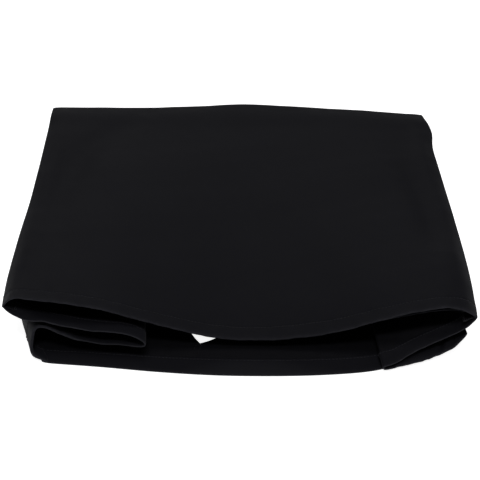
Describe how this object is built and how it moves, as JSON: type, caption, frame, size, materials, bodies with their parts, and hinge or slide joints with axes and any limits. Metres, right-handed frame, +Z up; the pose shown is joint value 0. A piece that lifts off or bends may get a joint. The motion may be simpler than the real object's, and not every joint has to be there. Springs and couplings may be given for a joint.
{
  "type": "speaker cover",
  "caption": "Fitted box-shaped cloth cover for a loudspeaker cabinet, folded flat with its hemmed mouth open and a cable slit in its back panel.",
  "frame": {"origin": "on the ground, under the middle of the folded cover's bounding box", "axes": "+X to the right as seen from the mouth, +Y from the mouth to the closed end, +Z up"},
  "size_m": [0.482, 0.4688, 0.0621],
  "materials": {
    "cover_cloth": "matt woven polyester with a coated back"
  },
  "bodies": {
    "root": {"front_panel": "cover_cloth", "back_panel": "cover_cloth", "left_side_panel": "cover_cloth", "right_side_panel": "cover_cloth", "end_panel": "cover_cloth"}
  },
  "joints": []
}
